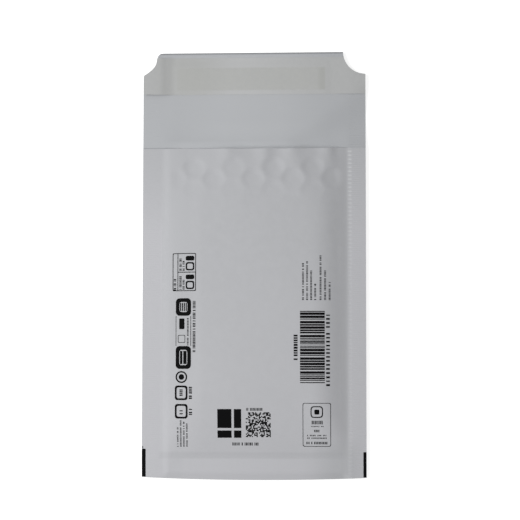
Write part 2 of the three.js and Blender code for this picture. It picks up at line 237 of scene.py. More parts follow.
left_cut = np.concatenate([
    bezier((0, 0), (0.37, 0.2), (0.66, 0.38), (0.68, 0.66)),
    bezier((0.68, 0.66), (0.7, 0.82), (0.79, 1), (1, 1)),
]) * left_notch


def inside_notches(x, y):
    """Draws the outer columns in, in proportion, so that the outermost lies on the cut corner's edge:
    a quarter ellipse about the right corner, the S-curve on the left one."""
    left_inset = np.interp(y - (flap_end - left_notch[1]), left_cut[:, 1], left_cut[:, 0], left=0)
    drop = np.clip((flap_end - y) / right_notch[1], 0, 1)
    right_inset = right_notch[0] * np.sqrt(1 - drop ** 2)
    left_root = left_seam + shoulder
    right_root = right_seam - shoulder
    on_left = left_root - (left_root - x) * (1 - left_inset / (left_root + half_width))
    on_right = right_root + (x - right_root) * (1 - right_inset / (half_width - right_root))
    return np.where(x < left_root, on_left, np.where(x > right_root, on_right, x))


def shell(outer, inner):
    """Closed wall between two grids of points: the outer grid's faces, the inner grid's turned round,
    and a strip of faces from rim to rim. A grid is rows by columns by 3."""
    number = np.arange(outer.shape[0] * outer.shape[1]).reshape(outer.shape[:2])
    corner = (number[:-1, :-1], number[:-1, 1:], number[1:, 1:], number[1:, :-1])
    face = np.stack(corner, -1).reshape(-1, 4)
    rim = np.concatenate([number[0], number[1:, -1], number[-1, -2::-1], number[-2:0:-1, 0]])
    after = np.roll(rim, -1)
    side = np.stack([after, rim, rim + number.size, after + number.size], -1)
    points = np.concatenate([outer.reshape(-1, 3), inner.reshape(-1, 3)])
    return points, np.concatenate([face, face[:, ::-1] + number.size, side])


def mesh_piece(name, points, faces, sharp=50):
    """Makes an object of a mesh: points in millimetres in the envelope's frame, faces of four corners.
    Edges bent by more than sharp degrees stay sharp."""
    mesh = bpy.data.meshes.new(name)
    centre = (0, flap_end / 2, 0)
    placed = ((points - centre) * MILLIMETRE).astype(np.float32)
    mesh.vertices.add(len(placed))
    mesh.vertices.foreach_set("co", placed.ravel())
    mesh.loops.add(faces.size)
    mesh.loops.foreach_set("vertex_index", faces.astype(np.int32).ravel())
    mesh.polygons.add(len(faces))
    mesh.polygons.foreach_set("loop_start", np.arange(0, faces.size, 4, dtype=np.int32))
    mesh.update(calc_edges=True)
    mesh.validate()
    mesh.polygons.foreach_set("use_smooth", np.ones(len(mesh.polygons), bool))
    mesh.set_sharp_from_angle(angle=math.radians(sharp))
    piece = bpy.data.objects.new(name, mesh)
    bpy.context.scene.collection.objects.link(piece)
    return piece


def linear(hex_colour):
    """An sRGB hex colour as linear red, green, blue and alpha."""
    srgb = np.array([int(hex_colour[i:i + 2], 16) for i in (1, 3, 5)]) / 255
    rgb = np.where(srgb <= 0.04045, srgb / 12.92, ((srgb + 0.055) / 1.055) ** 2.4)
    return (*rgb.tolist(), 1.0)


def node(tree, kind, inputs=None, **settings):
    """Adds a node of that kind: settings are its properties, inputs its sockets by name or number,
    each with a value or with another node's output."""
    made = tree.nodes.new("ShaderNode" + kind)
    for name, value in settings.items():
        setattr(made, name, value)
    for name, value in (inputs or {}).items():
        if isinstance(value, bpy.types.NodeSocket):
            tree.links.new(value, made.inputs[name])
        else:
            made.inputs[name].default_value = value
    return made


def new_material(name):
    """A material emptied of its nodes, and its node tree."""
    made = bpy.data.materials.new(name)
    made.use_nodes = True
    made.node_tree.nodes.clear()
    return made, made.node_tree


def paper_columns():
    """Places across the width: close together in the seams and shoulders, wider in the middle."""
    left = np.linspace(-half_width, left_seam, 11)[:-1]
    right = np.linspace(right_seam, half_width, 11)[1:]
    rise = left_seam + np.linspace(0, 1, 23)[:-1] * shoulder
    fall = right_seam - np.linspace(0, 1, 23)[:-1][::-1] * shoulder
    middle = np.linspace(left_seam + shoulder, right_seam - shoulder, 62)
    return np.concatenate([left, rise, middle, fall, right])


def bowed(x, y):
    """The folded edge bows out between its corners, and straightens over the flat band."""
    return y + fold_bow * (x / half_width) ** 2 * np.clip(1 - y / band, 0, 1)


def near_panel(x, rows, height):
    """Points at a height above the near panel's underside: the far panel, the air and the relief are
    stacked up, and the free edge is drawn back in proportion to the swell."""
    rise = pocket_gap(x, rows) + near_relief(x, rows) * ease(rows / band)
    base = pocket_under(x, rows) + paper + glue + rise
    drawn_back = mouth_dip * side_swell(x, rows) * ease(1 - (near_length - rows) / mouth_dip_run)
    return np.stack([x, bowed(x, rows) - drawn_back, base + height], -1)


def paper_sheet():
    """Outer and inner face of the folded sheet, in rows from the flap's end down the far panel, round
    the fold and up the near panel to the mouth. Rows lie closer together at the flap's rolled end, in
    its cut corners, in the band and over the dents."""
    x = paper_columns()
    angle = np.linspace(0, math.pi / 2, 16)
    roll = flap_end - np.array([0.0, 0.15, 0.3, 0.5, 0.75, 1.1, 1.6])
    flap_rows = np.concatenate([
        roll,
        flap_end - right_notch[1] * np.cos(angle[:-1]),
        np.linspace(near_length + 0.6, flap_end - 2.2, 56),
    ])
    flap_rows = np.unique(np.round(flap_rows, 3))[::-1]
    outer_radius = paper + glue / 2
    far_rows = np.linspace(near_length, outer_radius, 62)
    near_rows = np.concatenate([
        np.linspace(outer_radius, 18, 16),
        np.linspace(18, near_length - 45, 76)[1:],
        np.linspace(near_length - 45, near_length, 64)[1:],
    ])

    outer, inner = [], []
    rows = flap_rows[:, None]
    flap_x = inside_notches(x[None, :], rows)
    base = flap_under(flap_x, rows)
    outer.append(np.stack(np.broadcast_arrays(flap_x, rows, base), -1))
    inner.append(np.stack(np.broadcast_arrays(flap_x, rows, base + paper), -1))

    rows = far_rows[:, None]
    across = np.broadcast_to(x[None, :], (len(rows), len(x)))
    base = pocket_under(across, rows)
    outer.append(np.stack([across, bowed(across, rows), base], -1))
    inner.append(np.stack([across, bowed(across, rows), base + paper], -1))

    turn = np.linspace(0, math.pi, 9)[1:-1, None]
    across = np.broadcast_to(x[None, :], (len(turn), len(x)))
    centre_z = pocket_under(across, outer_radius) + outer_radius
    for radius, grids in ((outer_radius, outer), (glue / 2, inner)):
        y = outer_radius - radius * np.sin(turn) + bowed(across, 0)
        grids.append(np.stack([across, y, centre_z - radius * np.cos(turn)], -1))

    across, rows = np.meshgrid(x, near_rows)
    outer.append(near_panel(across, rows, paper))
    inner.append(near_panel(across, rows, 0))
    return np.concatenate(outer), np.concatenate(inner)


def within(tree, value, low, high, soft):
    """Mask of 1 between two places on an axis and 0 outside them, in millimetres, with soft edges."""
    sides = []
    for edge, inwards in ((low, 1), (high, -1)):
        sides.append(node(tree, "MapRange", {
            "Value": value,
            "From Min": (edge - inwards * soft / 2) * MILLIMETRE,
            "From Max": (edge + inwards * soft / 2) * MILLIMETRE,
        }).outputs[0])
    return node(tree, "Math", dict(enumerate(sides)), operation="MULTIPLY").outputs[0]


def mixed_in(tree, colour, tone, share, *masks):
    """Mixes a tone into a colour, by a share times the product of the masks."""
    amount = masks[0]
    for factor in (*masks[1:], share):
        amount = node(tree, "Math", {0: amount, 1: factor}, operation="MULTIPLY").outputs[0]
    mixed = node(tree, "MixRGB", {"Fac": amount, "Color1": colour, "Color2": linear(tone)})
    return mixed.outputs[0]


def noise_scale(size):
    """Scale of a noise whose grains lie a size in millimetres apart: its reciprocal in metres."""
    return 1 / (size * MILLIMETRE)


# White kraft, machine glazed: a dull even face with a trace of sheen, faintly cloudy from its fibres,
# which are drawn 0.4 mm wide because real ones are too fine to show. Light and shade are painted into
# its colour: painted light in the seams and the band, partly for the layers under them, and on a ramp
# towards the fold; painted shade down the left shoulder, in the lower right corner, in the crease above
# the band and near the mouth; painted light in a strip inside the right seam. On the flap, painted light
# in the middle and just above the mouth, and painted shade on its rolled end and in a line under the
# near panel's edge at the left seam. The sealing wheel presses ribs into the seams, and coarser teeth
# at the inner edge of the right one.
cloud_size = 3.846
fibre_size = 0.3846
fibre_depth = 0.03
rib_pitch = 1.0
rib_depth = 0.03
left_rib_share = 0.6
tooth_pitch = 2.15
tooth_fade = 65.0
tooth_white_low = 0.12
tooth_white_high = 0.5
# Shares and runs of the painted light and painted shade
seam_layers_and_painted_light = 0.65
fold_painted_light = 0.5
fold_painted_light_run = 120.0
mouth_painted_shade = 0.9
mouth_painted_shade_run = 45.0
right_of_painted_shade = 0.7
flap_painted_light_fade = 0.65
flap_painted_light_fade_run = 16.0
mouth_painted_light = 0.65
mouth_painted_light_run = 4.6
painted_edge_shade = 0.6
crease_shade = 0.28
seam_side_painted_light = 0.4
far_off = 1000.0


def kraft_paper():
    """The panels' and the flap's colours are mixed apart, and joined at the mouth. Each shade, most of
    them painted light or painted shade, is a mask between places on the sheet; a ramp is a mask whose
    other edge is far off."""
    made, tree = new_material("white_kraft_paper")
    place = node(tree, "TexCoord").outputs["Object"]
    cloud = node(tree, "TexNoise", {
        "Vector": place, "Scale": noise_scale(cloud_size), "Detail": 3.0, "Roughness": 0.6,
    })
    long_way = node(tree, "Mapping", {"Vector": place, "Scale": (1.0, 0.35, 1.0)})
    fibre = node(tree, "TexNoise", {
        "Vector": long_way.outputs[0], "Scale": noise_scale(fibre_size), "Detail": 2.0,
    })
    axes = node(tree, "SeparateXYZ", {"Vector": place})
    across, along = axes.outputs["X"], axes.outputs["Y"]
    low_end, mouth, high_end = -flap_end / 2, near_length - flap_end / 2, flap_end / 2
    band_top = low_end + band
    left_ribs = within(tree, across, -half_width - 1, left_seam, 0.4)
    right_ribs = within(tree, across, right_seam, half_width + 1, 0.4)
    below_mouth = within(tree, along, -far_off, mouth, 0.4)

    colour = node(tree, "MixRGB", {
        "Fac": cloud.outputs["Fac"], "Color1": linear("#B0B1B4"), "Color2": linear("#B8B9BC"),
    }).outputs[0]
    # Painted light, partly for the layers under them: the band, the seams and a long ramp towards the fold
    # are mixed whiter, fading out at the mouth.
    in_band = within(tree, along, -far_off, band_top, 0.6)
    off_corners = within(tree, across, left_seam + 5, right_seam - 17, 16)
    in_band = node(tree, "Math", {0: in_band, 1: off_corners}, operation="MULTIPLY").outputs[0]
    sealed = node(tree, "Math", {0: left_ribs, 1: right_ribs}, operation="ADD").outputs[0]
    sealed = node(tree, "Math", {0: sealed, 1: in_band}, operation="MAXIMUM").outputs[0]
    sealed = node(tree, "Math", {0: sealed, 1: seam_layers_and_painted_light}, operation="MULTIPLY").outputs[0]
    over_fold = within(tree, along, -far_off, band_top + fold_painted_light_run / 2, fold_painted_light_run)
    over_fold = node(tree, "Math", {0: over_fold, 1: fold_painted_light}, operation="MULTIPLY").outputs[0]
    whiter = node(tree, "Math", {0: sealed, 1: over_fold}, operation="MAXIMUM").outputs[0]
    # Painted shade towards the mouth: the painted light fades out there, and a grey comes in, more on the
    # left.
    to_mouth = within(tree, along, mouth - mouth_painted_shade_run / 2, far_off, mouth_painted_shade_run)
    from_mouth = node(tree, "Math", {0: to_mouth, 1: -mouth_painted_shade, 2: 1.0}, operation="MULTIPLY_ADD")
    colour = mixed_in(tree, colour, "#BFBFC3", 1.0, whiter, below_mouth, from_mouth.outputs[0])

    on_right = within(tree, across, -5, far_off, 40)
    on_left = node(tree, "Math", {0: on_right, 1: -right_of_painted_shade, 2: 1.0}, operation="MULTIPLY_ADD")
    painted_shade = node(tree, "Math", {0: to_mouth, 1: on_left.outputs[0]}, operation="MULTIPLY").outputs[0]
    painted_shade = node(tree, "Math", {0: painted_shade, 1: mouth_painted_shade}, operation="MULTIPLY").outputs[0]
    # Painted shade down the left shoulder and in the lower right corner.
    on_shoulder = within(tree, across, left_seam + 4, left_seam + 17, 7)
    above_heel = within(tree, along, band_top + 37, far_off, 46)
    at_corner = within(tree, across, right_seam - 15, right_seam + 3, 12)
    low_down = within(tree, along, low_end - 9, band_top + 7, 8)
    for sides, ends in ((on_shoulder, above_heel), (at_corner, low_down)):
        spot = node(tree, "Math", {0: sides, 1: ends}, operation="MULTIPLY").outputs[0]
        painted_shade = node(tree, "Math", {0: painted_shade, 1: spot}, operation="MAXIMUM").outputs[0]
    colour = mixed_in(tree, colour, "#B0B1B4", 1.0, painted_shade)
    # Painted shade in the crease above the band.
    creased = within(tree, along, band_top - 0.2, band_top + 3.2, 1.2)
    between_seams = within(tree, across, left_seam - 1, right_seam, 2)
    colour = mixed_in(tree, colour, "#A6A7AA", crease_shade, creased, between_seams)

    # Painted light: the flap's middle is paler, most of all next to the mouth.
    up_flap = within(tree, along, mouth + flap_painted_light_fade_run / 2, far_off, flap_painted_light_fade_run)
    down_flap = node(tree, "Math", {0: up_flap, 1: -flap_painted_light_fade, 2: 1.0}, operation="MULTIPLY_ADD")
    in_middle = within(tree, across, left_seam + 21, right_seam - 24, 26)
    flap = mixed_in(tree, linear("#AFB1B4"), "#BDBFC2", 1.0, down_flap.outputs[0], in_middle)
    # Painted light on the flap just above the mouth, against the shade under the near panel's edge.
    at_mouth = within(tree, along, -far_off, mouth + mouth_painted_light_run / 2, mouth_painted_light_run)
    in_mouth = within(tree, across, left_seam + 5, right_seam - 31, 12)
    flap = mixed_in(tree, flap, "#CDCFD2", mouth_painted_light, at_mouth, in_mouth)
    # Painted shade on the flap's rolled end.
    cut_end = within(tree, along, high_end - 0.8, far_off, 0.7)
    flap = mixed_in(tree, flap, "#808286", painted_edge_shade, cut_end)
    # A painted shadow line on the flap just above the mouth, under the near panel's edge at the left seam.
    seam_end = within(tree, along, mouth + 0.2, mouth + 0.6, 0.3)
    on_left_seam = within(tree, across, -far_off, left_seam + 7, 9)
    flap = mixed_in(tree, flap, "#808286", painted_edge_shade, seam_end, on_left_seam)
    colour = node(tree, "MixRGB", {"Fac": below_mouth, "Color1": flap, "Color2": colour}).outputs[0]

    # Painted light in a strip just inside the right seam.
    pressed = within(tree, across, right_seam - 3.4, right_seam + 0.2, 2.0)
    colour = mixed_in(tree, colour, "#CCCDD0", seam_side_painted_light, pressed, below_mouth)
    waves = []
    for pitch in (tooth_pitch, rib_pitch):
        turns = node(tree, "Math", {0: along, 1: 2 * math.pi / (pitch * MILLIMETRE)}, operation="MULTIPLY")
        waves.append(node(tree, "Math", {0: turns.outputs[0]}, operation="SINE"))
    tooth_wave, rib_wave = waves
    tooth_wave.use_clamp = True
    at_crease = within(tree, across, right_seam - 0.9, right_seam + 1.1, 1.0)
    up_seam = within(tree, along, mouth - 10 - tooth_fade / 2, far_off, tooth_fade)
    fading = node(tree, "Math", {
        0: up_seam, 1: tooth_white_high - tooth_white_low, 2: tooth_white_low,
    }, operation="MULTIPLY_ADD")
    teeth = (tooth_wave.outputs[0], at_crease, fading.outputs[0], below_mouth)
    colour = mixed_in(tree, colour, "#DADCDE", 1.0, *teeth)

    ribbed = node(tree, "Math", {0: left_ribs, 1: left_rib_share, 2: right_ribs}, operation="MULTIPLY_ADD")
    ribs = node(tree, "Math", {0: rib_wave.outputs[0], 1: ribbed.outputs[0]}, operation="MULTIPLY")
    rib_bump = node(tree, "Bump", {"Height": ribs.outputs[0], "Distance": rib_depth * MILLIMETRE})
    fibre_bump = node(tree, "Bump", {
        "Height": fibre.outputs["Fac"], "Distance": fibre_depth * MILLIMETRE,
        "Normal": rib_bump.outputs[0],
    })
    shader = node(tree, "BsdfPrincipled", {
        "Base Color": colour, "Roughness": 0.7, "Specular IOR Level": 0.25,
        "Normal": fibre_bump.outputs[0],
    })
    node(tree, "OutputMaterial", {"Surface": shader.outputs[0]})
    return made


cover = mesh_piece("paper_sheet", *shell(*paper_sheet()))
cover.data.materials.append(kraft_paper())
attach(cover, "root")
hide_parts("paper_cover")

# The print: one pass of black flexographic ink on the closure side, in plain fields, frames, stripes
# and rows of dashes. The marks on both edges at the fold steer the machine that folds the web.
ink_low = 0.01
ink_top = 0.035
ink_step = 1.2
frame_step = 0.6
corner_turns = 24
hairline = 0.3
dash_gap = 0.3
group_share = 0.16
most_inset = 0.95
spread = np.random.default_rng(11)
ink_parts = []


def spaced(low, high):
    """Even places from low to high, no farther apart than the ink's step."""
    return np.linspace(low, high, max(2, math.ceil((high - low) / ink_step) + 1))


def ink_field(left, right, bottom, top, radius=0.0):
    """Adds a filled rectangle. A rounded corner draws its rows in by r - sqrt(r * r - d * d), where d is
    how far into the corner a row lies, but never quite to a point."""
    turn = radius * (1 - np.cos(np.linspace(0, math.pi / 2, 6)))
    y = np.unique(np.round(np.concatenate([spaced(bottom, top), bottom + turn, top - turn]), 3))[:, None]
    deep = np.clip(np.maximum(bottom + radius - y, y - top + radius), 0, radius)
    inset = radius - np.sqrt(radius ** 2 - deep ** 2)
    half = (right - left) / 2
    x = left + half + (spaced(left, right) - left - half)[None, :] * (1 - most_inset * inset / half)
    x, y = np.broadcast_arrays(x, y)
    ink_parts.append(shell(near_panel(x, y, paper + ink_top), near_panel(x, y, paper + ink_low)))


def ink_frame(left, right, bottom, top, radius, line=hairline):
    """Adds an outline of a line's width: four corner arcs joined straight, walked at even steps."""
    angle = (np.arange(corner_turns) + 0.5) / corner_turns * 2 * math.pi
    middle = np.array([left + right, bottom + top]) / 2
    half = np.array([right - left, top - bottom]) / 2
    turn = np.stack([np.cos(angle), np.sin(angle)], -1)
    corners = np.sign(turn) * (half - radius) + radius * turn
    corners = np.concatenate([corners, corners[:1]])
    run = np.concatenate([[0], np.cumsum(np.hypot(*np.diff(corners, axis=0).T))])
    count = max(corner_turns, math.ceil(run[-1] / frame_step))
    walk = np.arange(count) / count * run[-1]
    path = np.stack([np.interp(walk, run, corners[:, 0]), np.interp(walk, run, corners[:, 1])], -1)
    outside, inside = path + middle, path * (half - line) / half + middle
    rings = np.concatenate([
        near_panel(*ring.T, paper + height)
        for ring, height in ((outside, ink_low), (outside, ink_top), (inside, ink_top), (inside, ink_low))
    ])
    number = np.arange(4 * count).reshape(4, count)
    after = np.roll(number, -1, axis=1)
    faces = np.stack([number, after, np.roll(after, -1, axis=0), np.roll(number, -1, axis=0)], -1)
    ink_parts.append((rings, faces.reshape(-1, 4)))


def ink_dashes(left, bottom, length, height, upwards=True, widest=0.6, gap=dash_gap):
    """Adds a row of dashes of uneven width, parted by even gaps and now and then by a wider one."""
    count = math.ceil(length / (widest / 2 + gap))
    widths = spread.uniform(widest / 2, widest, count)
    gaps = np.where(spread.random(count) < group_share, 2 * gap + 0.4, gap)
    starts = np.concatenate([[0], np.cumsum(widths + gaps)[:-1]])
    for start, width in zip(starts, widths):
        if start + width > length:
            break
        if upwards:
            ink_field(left, left + height, bottom + start, bottom + start + width)
        else:
            ink_field(left + start, left + start + width, bottom, bottom + height)


# Left column: a divided frame, a long label with filled ends, a ring, two square frames, small print
ink_frame(-43.4, -30.6, 100.5, 120.8, 0.5, 0.4)
ink_field(-40.7, -40.3, 100.9, 120.4)
ink_field(-40.3, -31.0, 110.4, 110.8)
for cell in (101.3, 111.3):
    ink_frame(-36.2, -31.5, cell + 0.2, cell + 4.7, 1.2, 0.8)
    ink_field(-36.2, -31.5, cell + 5.5, cell + 8.0, 0.9)
    ink_dashes(-39.7, cell, 7.4, 1.3, gap=0.25)
    ink_dashes(-37.9, cell, 5.4, 1.1, gap=0.25)
ink_dashes(-42.8, 100.9, 6.4, 1.4, gap=0.25)
ink_frame(-41.6, -33.2, 87.3, 96.7, 2.1, 2.0)
for stripe in range(4):
    ink_field(-39.3 + 1.05 * stripe, -38.7 + 1.05 * stripe, 89.8, 94.2)
ink_frame(-41.6, -33.2, 59.0, 71.2, 2.1, 2.0)
ink_field(-39.2, -37.9, 61.6, 68.6)
ink_field(-37.4, -35.6, 61.6, 68.6)
ink_field(-41.6, -41.3, 71.25, 87.25)
ink_field(-33.5, -33.2, 71.25, 87.25)
ink_frame(-40.4, -36.4, 72.9, 77.1, 0.4)
ink_field(-39.7, -36.8, 80.2, 85.9, 0.5)
ink_dashes(-35.4, 71.6, 14.5, 0.9)
ink_dashes(-32.3, 68.0, 27.7, 1.5, gap=0.25)
ink_frame(-41.6, -35.2, 51.5, 57.9, 3.1, 0.8)
ink_field(-39.9, -36.9, 53.2, 56.2, 1.4)
for bottom in (42.4, 32.6):
    ink_frame(-42.0, -35.0, bottom, bottom + 7.8, 1.4, 1.0)
    ink_dashes(-39.4, bottom + 2.3, 3.4, 1.7, widest=0.8)
ink_dashes(-34.3, 43.1, 6.9, 1.7, widest=0.8)
ink_dashes(-34.3, 34.6, 4.6, 1.7, widest=0.8)
for line, length in enumerate((10.5, 14.8, 13.2, 12.4)):
    ink_dashes(-40.9 + 1.65 * line, 17.7, length, 0.85, widest=0.5, gap=0.25)

# Right column: two groups of small print, a block of stripes with its row of marks, a framed panel
for line, length in enumerate((20.2, 20.7, 15.8, 9.8)):
    ink_dashes(26.0 + 2.15 * line, 95.6, length, 1.0)
for line, length in enumerate((23.9, 15.9, 10.2)):
    ink_dashes(35.3 + 2.4 * line, 95.6, length, 1.0)
ink_dashes(21.5, 63.8, 13.5, 2.1, widest=1.2, gap=0.4)
stripe_unit = 0.41
stripe_at = 51.6
stripes_end = 90.3
for stripe in range(40):
    stripe_width = stripe_unit * (1.2 + (5 * stripe * stripe + stripe + stripe // 5) % 3)
    stripe_gap = stripe_unit * (0.8 + (stripe * stripe + 3) % 5 % 2)
    if stripe_at + stripe_width > stripes_end:
        break
    ink_field(24.9, 38.0, stripe_at, stripe_at + stripe_width)
    stripe_at += stripe_width + stripe_gap
ink_dashes(38.7, 50.0, 38.5, 2.0, widest=1.1, gap=1.2)
ink_frame(26.2, 41.2, 17.9, 41.1, 0.9)
ink_frame(30.4, 37.0, 33.2, 39.4, 1.6, 0.55)
ink_field(32.4, 35.0, 35.0, 37.6, 0.6)
for bottom, left, length, height in (
    (29.8, 31.0, 6.2, 1.9), (28.4, 30.7, 6.9, 0.5), (25.6, 32.3, 3.1, 1.3), (23.5, 28.6, 10.5, 0.7),
    (22.1, 28.6, 10.5, 0.7), (19.2, 28.1, 11.7, 1.3),
):
    ink_dashes(left, bottom, length, height, upwards=False)

# Bottom centre: a block parted by bare lines, and a block of scattered squares between rows of dashes
for left, right in ((-19.1, -11.6), (-10.3, -6.4)):
    ink_field(left, right, 22.5, 26.4)
    ink_field(left, right, 27.7, 37.8)
square_size = 0.63
squares_left, squares_bottom = -4.0, 22.9
for row, filled in enumerate(spread.random((21, 21)) < 0.56):
    bottom = squares_bottom + row * square_size
    edges = np.flatnonzero(np.diff(np.concatenate([[0], filled, [0]])))
    for first, last in squares_left + edges.reshape(-1, 2) * square_size:
        ink_field(first, last, bottom, bottom + square_size - 0.02)
ink_dashes(-3.7, 36.9, 9.4, 1.5, upwards=False)
ink_dashes(-11.2, 18.4, 14.9, 1.6, upwards=False)

# The marks on both edges at the fold, and a tick over the left one
ink_field(-half_width, -57.9, 0.3, 16.4, 0.3)
ink_field(58.3, half_width, 0.3, 15.0, 0.3)
ink_field(-59.7, -59.3, 16.6, 17.8)


# Flexographic ink: a thin dull black that soaks into kraft, a little uneven over its fibres, whose
# clumps are 0.7 mm across.
clump_size = 0.6667


def black_ink():
    made, tree = new_material("flexographic_ink")
    place = node(tree, "TexCoord").outputs["Object"]
    grain = node(tree, "TexNoise", {
        "Vector": place, "Scale": noise_scale(clump_size), "Detail": 2.0,
    })
    tone = node(tree, "MixRGB", {
        "Fac": grain.outputs["Fac"], "Color1": linear("#040405"), "Color2": linear("#0A0A0B"),
    })
    bump = node(tree, "Bump", {"Height": grain.outputs["Fac"], "Distance": 0.02 * MILLIMETRE})
    shader = node(tree, "BsdfPrincipled", {
        "Base Color": tone.outputs[0], "Roughness": 0.7, "Specular IOR Level": 0.05,
        "Normal": bump.outputs[0],
    })
    node(tree, "OutputMaterial", {"Surface": shader.outputs[0]})
    return made


first_corners = np.cumsum([0] + [len(part[0]) for part in ink_parts[:-1]])
ink = mesh_piece(
    "printed_ink",
    np.concatenate([part[0] for part in ink_parts]),
    np.concatenate([part[1] + first for part, first in zip(ink_parts, first_corners)]),
)
ink.data.materials.append(black_ink())
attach(ink, "root")

# The bubble liner: clear polyethylene film folded at the bottom and welded at its sides, with its
# bubbles towards the paper. Air held in each bubble is what pads the envelope.
film = 0.12
film_left = left_seam + 1.5
film_right = right_seam - 1.5
film_fold = band + 1.6
film_edge = near_length - 1.2
film_corner = 9.0
corner_inset = 4.5
pocket_clear = 4.5
film_heel = 27.0
film_turn = 0.3
bubble_room = 2.2
bubble_radius = 5.0
bubble_rows = 13
dome_clear = 0.15
dent_clear = 0.2
least_dome = 0.02


def film_middle(x, y):
    """Height halfway between the two panels: the far panel's inner face plus half the air."""
    return pocket_under(x, y) + paper + pocket_gap(x, y) / 2


def film_half_gap(x, y):
    """Half the pocket: full in the middle, closing as quarter sine waves to the welds and to the fold,
    and always leaving the bubbles room under the paper."""
    side = np.clip(np.minimum(x - film_left, film_right - x) / column_spacing, 0, 1)
    rise = np.clip((y - film_fold) / film_heel, 0, 1)
    full = pocket_clear / 2 * np.sin(side * math.pi / 2) * np.sin(rise * math.pi / 2)
    return np.minimum(full, np.clip(pocket_gap(x, y) / 2 - bubble_room, 0, None))


def film_narrowed(x, y):
    """The film's lower corners are rounded in, by a quarter of an ellipse."""
    corner = np.clip(1 - (y - film_fold) / film_corner, 0, 1)
    middle = (film_left + film_right) / 2
    inset = corner_inset * (1 - np.sqrt(1 - corner ** 2))
    return middle + (x - middle) * (1 - inset / (film_right - middle))


def film_sheet():
    """Outer and inner face of the folded film, from the far panel's mouth down round the fold and up."""
    rows = np.linspace(film_edge, film_fold + film_turn, 110)[:, None]
    across = film_narrowed(np.linspace(film_left, film_right, 90)[None, :], rows)
    middle, half_gap = film_middle(across, rows), film_half_gap(across, rows) + film / 4
    rows = np.broadcast_to(rows, across.shape)
    far_inner = np.stack([across, rows, middle - half_gap], -1)
    far_outer = np.stack([across, rows, middle - half_gap - film], -1)
    near_inner = np.stack([across, rows, middle + half_gap], -1)[::-1]
    near_outer = np.stack([across, rows, middle + half_gap + film], -1)[::-1]
    return np.concatenate([far_outer, near_outer]), np.concatenate([far_inner, near_inner])


def bubble_domes(side):
    """Closed domes on one layer of film, above it or below it: rings whose height follows a rounded flat
    top, from the film's outer face to just short of the paper, or of the dent in it."""
    centres = bubble_centres(bubble_rows)
    centres = centres[centres[:, 1] > film_fold + film_corner]
    angle = np.arange(14) / 14 * 2 * math.pi
    radius = np.array([0.3, 1.0, 1.0, 0.97, 0.9, 0.76, 0.5, 0.2]) * bubble_radius
    rise = np.array([0.0, 0.0, 0.15, 0.45, 0.72, 0.9, 0.985, 1.0])
    x = centres[:, 0, None, None] + radius[None, :, None] * np.cos(angle)[None, None, :]
    y = centres[:, 1, None, None] + radius[None, :, None] * np.sin(angle)[None, None, :]
    middle = film_middle(x, y)
    base = film_half_gap(x, y) + film * 1.2
    top = pocket_gap(x, y) / 2 - dome_clear
    if side > 0:
        top = top - dent_clear + np.minimum(near_relief(x, y), 0)
    top = np.maximum(top, base + least_dome)
    z = middle + side * (base + (top - base) * rise[None, :, None])
    rings, sides = len(radius), len(angle)
    number = np.arange(x.size).reshape(x.shape)
    turned = np.roll(number, -1, axis=2)
    wall = np.stack([number[:, :-1], turned[:, :-1], turned[:, 1:], number[:, 1:]], -1)
    low = np.arange(sides // 2 - 1)
    cap = np.stack([low, low + 1, sides - 2 - low, sides - 1 - low], -1)
    foot_cap, top_cap = number[:, 0][:, cap[:, ::-1]], number[:, -1][:, cap]
    faces = np.concatenate([part.reshape(-1, 4) for part in (wall, foot_cap, top_cap)])
    return np.stack([x, y, z], -1).reshape(-1, 3), faces if side > 0 else faces[:, ::-1]


# Low-density polyethylene, blown as film: clear and slick, a little milky, with soft wrinkles 2.4 mm
# apart.
wrinkle_size = 2.381


def clear_film():
    made, tree = new_material("polyethylene_film")
    place = node(tree, "TexCoord").outputs["Object"]
    wrinkle = node(tree, "TexNoise", {
        "Vector": place, "Scale": noise_scale(wrinkle_size), "Detail": 2.0,
    })
    bump = node(tree, "Bump", {"Height": wrinkle.outputs["Fac"], "Distance": 0.15 * MILLIMETRE})
    shader = node(tree, "BsdfPrincipled", {
        "Base Color": linear("#EDF1F3"), "Roughness": 0.18, "IOR": 1.51, "Alpha": 0.6,
        "Normal": bump.outputs[0],
    })
    node(tree, "OutputMaterial", {"Surface": shader.outputs[0]})
    return made


points, faces = shell(*film_sheet())
for side in (1, -1):
    dome_points, dome_faces = bubble_domes(side)
    faces = np.concatenate([faces, dome_faces + len(points)])
    points = np.concatenate([points, dome_points])
liner = mesh_piece("bubble_film", points, faces)
liner.data.materials.append(clear_film())
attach(liner, "root")
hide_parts("bubble_liner")

# The adhesive: a band of pressure-sensitive hot melt laid on the flap's inner face, soft and tacky.
adhesive_left = -41.7
adhesive_right = 38.3
adhesive_top = flap_end - 8.3
adhesive_bottom = adhesive_top - 12.2
adhesive_thickness = 0.14
touch = 0.02


def flap_layer(x, y, low, thickness):
    """Closed layer over the flap, of one thickness from a height above its inner face, cut off at the
    flap's corners."""
    rows = y[:, None]
    across = inside_notches(x[None, :], rows)
    rows = np.broadcast_to(rows, across.shape)
    base = flap_under(across, rows) + paper + low(across, rows)
    return shell(np.stack([across, rows, base + thickness], -1), np.stack([across, rows, base], -1))


# Hot melt, slot-coated and never dry: pale, glossy and finely rippled, 1.4 mm from ripple to ripple.
ripple_size = 1.4286


